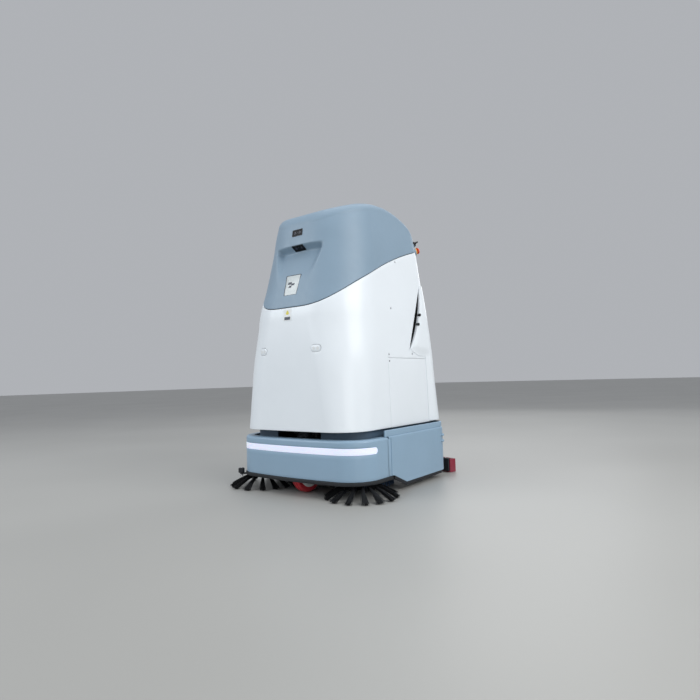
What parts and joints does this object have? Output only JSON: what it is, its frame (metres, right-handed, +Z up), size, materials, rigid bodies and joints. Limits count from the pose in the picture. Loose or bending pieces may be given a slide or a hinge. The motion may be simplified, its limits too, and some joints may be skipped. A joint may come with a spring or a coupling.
{
  "type": "robotic floor scrubber",
  "caption": "Self-driving floor scrubber: rounded base with bumper, side brushes, scrub deck and squeegee, and a tapered body with tanks under a hinged hood.",
  "frame": {"origin": "on the floor, under the middle of the overall box", "axes": "+Z up, -Y the way the machine drives, +X towards the machine's left-hand side as it drives"},
  "size_m": [0.8062, 0.8706, 1.2021],
  "materials": {
    "frame_steel": "powder coated steel",
    "base_panel": "satin moulded plastic",
    "hood_panel": "satin moulded plastic",
    "body_panel": "satin gloss white moulded plastic",
    "black_trim": "fine grained black plastic",
    "light_lens": "frosted diffuser",
    "badge_face": "smooth printed plate",
    "screen_glass": "black glass front",
    "collar_yellow": "moulded plastic",
    "signal_red": "moulded plastic",
    "red_tyre": "polyurethane",
    "red_blade": "polyurethane sheet",
    "wheel_hub": "moulded nylon",
    "dark_tyre": "ribbed rubber",
    "bright_steel": "machined",
    "motor_case": "black painted",
    "side_bristle": "black nylon filament",
    "scrub_bristle": "blue nylon filament",
    "tank_plastic": "rotation moulded polyethylene",
    "case_black": "moulded case"
  },
  "bodies": {
    "chassis": {"chassis_frame": "frame_steel", "body_frame": "frame_steel", "top_deck": "black_trim", "neck_wall": "base_panel", "side_panel_right": "base_panel", "side_panel_left": "base_panel", "rear_panel": "base_panel", "side_skirts": "black_trim", "lidar_base": "black_trim", "body_shell": "body_panel", "service_panel_right": "body_panel", "service_panel_left": "body_panel", "grab_recesses": "black_trim", "ultrasonic_sensors": "body_panel", "touch_screen": "screen_glass", "steering_motor": "motor_case", "rear_axles": "bright_steel", "side_brush_motors": "motor_case", "clean_water_tank": "tank_plastic", "recovery_tank": "tank_plastic", "panel_screws": "bright_steel", "battery_pack": "case_black", "control_box": "case_black", "vacuum_motor": "motor_case", "water_pump": "motor_case", "hinge_pins": "bright_steel"},
    "bumper": {"bumper_shell": "base_panel", "light_strip": "light_lens", "bumper_strip": "black_trim"},
    "corner_roller": {"corner_roller": "black_trim"},
    "lidar_head": {"lidar_head": "black_trim"},
    "rear_cover": {"rear_cover": "body_panel", "cover_catches": "black_trim"},
    "hood": {"hood": "hood_panel", "upper_camera": "black_trim", "lower_camera": "black_trim", "badge_plate": "badge_face", "estop_collar": "collar_yellow", "power_knob_base": "black_trim"},
    "estop_button": {"estop_button": "signal_red"},
    "power_knob": {"power_knob": "black_trim"},
    "steering": {"steering_fork": "frame_steel", "steering_gear": "bright_steel"},
    "pinion": {"steering_pinion": "bright_steel"},
    "front_wheel": {"front_tyre": "red_tyre", "front_hub": "wheel_hub"},
    "rear_wheel_right": {"rear_tyre_right": "dark_tyre", "rear_hub_right": "wheel_hub"},
    "rear_wheel_left": {"rear_tyre_left": "dark_tyre", "rear_hub_left": "wheel_hub"},
    "side_brush_right": {"side_brush_right": "side_bristle"},
    "side_brush_left": {"side_brush_left": "side_bristle"},
    "scrub_deck": {"scrub_deck": "frame_steel", "scrub_motors": "motor_case"},
    "scrub_brush_right": {"scrub_brush_right": "scrub_bristle"},
    "scrub_brush_left": {"scrub_brush_left": "scrub_bristle"},
    "squeegee_arm": {"squeegee_arm": "frame_steel"},
    "squeegee": {"squeegee_body": "black_trim", "front_blade": "red_blade", "rear_blade": "red_blade"}
  },
  "joints": [
    {"name": "bumper_push", "type": "slide", "parent": "chassis", "child": "bumper", "axis": [0, 1, 0], "range_m": [0, 0.006], "stiffness_N_per_m": 4000, "springref_m": -0.005},
    {"name": "corner_roller_spin", "type": "hinge", "parent": "bumper", "child": "corner_roller", "pos_m": [-0.3, -0.388, 0.07], "axis": [0, 0, 1], "continuous": true},
    {"name": "lidar_spin", "type": "hinge", "parent": "chassis", "child": "lidar_head", "pos_m": [0, -0.316, 0.23], "axis": [0, 0, 1], "continuous": true},
    {"name": "rear_cover_tilt", "type": "hinge", "parent": "chassis", "child": "rear_cover", "pos_m": [0, 0.333, 0.244], "axis": [1, 0, 0], "range_deg": [-65, 0]},
    {"name": "hood_lift", "type": "hinge", "parent": "chassis", "child": "hood", "pos_m": [0, 0.294, 1.038], "axis": [1, 0, 0], "range_deg": [-60, 0]},
    {"name": "estop_press", "type": "slide", "parent": "hood", "child": "estop_button", "axis": [-0.5855, -0.7494, -0.309], "range_m": [0, 0.004], "stiffness_N_per_m": 1500, "springref_m": -0.002},
    {"name": "power_knob_turn", "type": "hinge", "parent": "hood", "child": "power_knob", "pos_m": [0.194, 0.259, 1.076], "axis": [0.3892, 0.732, 0.5592], "range_deg": [-90, 0]},
    {"name": "steering_turn", "type": "hinge", "parent": "chassis", "child": "steering", "pos_m": [0, -0.308, 0.08], "axis": [0, 0, 1], "range_deg": [-90, 90]},
    {"name": "pinion_turn", "type": "hinge", "parent": "chassis", "child": "pinion", "pos_m": [0, -0.2405, 0.18], "axis": [0, 0, 1], "range_deg": [-185, 185]},
    {"name": "front_wheel_spin", "type": "hinge", "parent": "steering", "child": "front_wheel", "pos_m": [0, -0.308, 0.08], "axis": [1, 0, 0], "continuous": true},
    {"name": "rear_wheel_right_spin", "type": "hinge", "parent": "chassis", "child": "rear_wheel_right", "pos_m": [0.262, 0.157, 0.085], "axis": [1, 0, 0], "continuous": true},
    {"name": "rear_wheel_left_spin", "type": "hinge", "parent": "chassis", "child": "rear_wheel_left", "pos_m": [-0.262, 0.157, 0.085], "axis": [1, 0, 0], "continuous": true},
    {"name": "side_brush_right_spin", "type": "hinge", "parent": "chassis", "child": "side_brush_right", "pos_m": [0.258, -0.294, 0.06], "axis": [0, 0, 1], "continuous": true},
    {"name": "side_brush_left_spin", "type": "hinge", "parent": "chassis", "child": "side_brush_left", "pos_m": [-0.258, -0.294, 0.06], "axis": [0, 0, 1], "continuous": true},
    {"name": "scrub_deck_lift", "type": "slide", "parent": "chassis", "child": "scrub_deck", "axis": [0, 0, 1], "range_m": [0, 0.03]},
    {"name": "scrub_brush_right_spin", "type": "hinge", "parent": "scrub_deck", "child": "scrub_brush_right", "pos_m": [0.125, -0.058, 0.04], "axis": [0, 0, 1], "continuous": true},
    {"name": "scrub_brush_left_spin", "type": "hinge", "parent": "scrub_deck", "child": "scrub_brush_left", "pos_m": [-0.125, -0.058, 0.04], "axis": [0, 0, 1], "continuous": true},
    {"name": "squeegee_lift", "type": "hinge", "parent": "chassis", "child": "squeegee_arm", "pos_m": [0, 0.232, 0.13], "axis": [1, 0, 0], "range_deg": [0, 14]},
    {"name": "squeegee_swivel", "type": "hinge", "parent": "squeegee_arm", "child": "squeegee", "pos_m": [0, 0.37, 0.06], "axis": [0, 0, 1], "range_deg": [-6, 6]}
  ],
  "couplings": [
    {"joint": "pinion_turn", "follows": "steering_turn", "ratio": -2}
  ]
}
